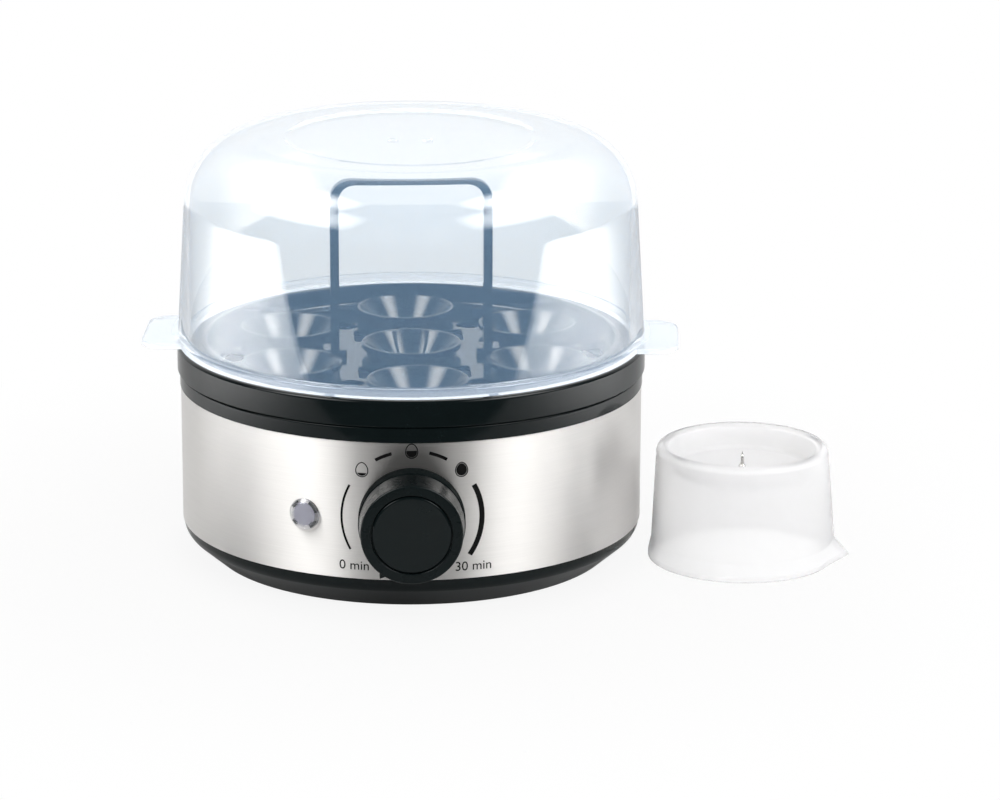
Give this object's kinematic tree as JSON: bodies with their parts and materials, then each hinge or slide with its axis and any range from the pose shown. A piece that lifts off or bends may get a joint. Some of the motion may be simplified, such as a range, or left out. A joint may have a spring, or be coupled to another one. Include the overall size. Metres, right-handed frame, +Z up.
{
  "type": "egg cooker",
  "caption": "Round steam egg cooker with steel band, turn timer, lift-out egg tray, clear lid with side tabs and a measuring cup with pricker.",
  "frame": {"origin": "on the table under the axis of the round body, in the plane of the feet", "axes": "+Z up, the knob faces -Y, +X to the right seen from the front, where the measuring cup stands"},
  "size_m": [0.274, 0.2008, 0.165],
  "materials": {
    "black_plastic": "glossy moulded black plastic",
    "clear_plastic": "clear polished plastic",
    "frosted_plastic": "slightly frosted clear plastic",
    "brushed_steel": "stainless steel brushed round the body",
    "plain_steel": "plated steel",
    "element_sheath": "grey metal sheath",
    "silicone": "soft dark rubber",
    "moulded_inner": "natural moulded plastic",
    "wire_cover": "silicone sleeved wire"
  },
  "bodies": {
    "base": {"bottom_pan": "black_plastic", "rubber_feet": "silicone", "pan_screws": "plain_steel", "steel_band": "brushed_steel", "base_collar": "black_plastic", "heating_plate": "brushed_steel", "plate_gasket": "silicone", "heating_element": "element_sheath", "element_pins": "plain_steel", "clamp_bracket": "plain_steel", "clamp_nuts": "plain_steel", "thermostat": "moulded_inner", "thermal_fuse": "element_sheath", "timer_bracket": "moulded_inner", "timer_case": "moulded_inner", "timer_bell": "plain_steel", "timer_screws": "plain_steel", "lamp_lens": "clear_plastic", "lamp_nut": "plain_steel", "lamp_body": "moulded_inner", "cord_gland": "silicone", "terminal_block": "moulded_inner", "lead_wires": "wire_cover"},
    "timer_drive": {"knob": "black_plastic", "knob_cap": "black_plastic", "timer_spindle": "plain_steel"},
    "tray_set": {"egg_tray": "black_plastic", "tray_handle": "black_plastic"},
    "lid_cover": {"lid": "clear_plastic"},
    "measure": {"measuring_cup": "frosted_plastic", "pricker_needle": "plain_steel"}
  },
  "joints": [
    {"name": "knob_turn", "type": "hinge", "parent": "base", "child": "timer_drive", "pos_m": [0, -0.1, 0.0395], "axis": [0, 1, 0], "range_deg": [0, 290]},
    {"name": "tray_lift", "type": "slide", "parent": "base", "child": "tray_set", "axis": [0, 0, 1], "range_m": [0, 0.1]},
    {"name": "lid_lift", "type": "slide", "parent": "tray_set", "child": "lid_cover", "axis": [0, 0, 1], "range_m": [0, 0.11]},
    {"name": "measure_lift", "type": "slide", "parent": "base", "child": "measure", "axis": [0.5, 0, 0.866], "range_m": [0, 0.1]}
  ]
}
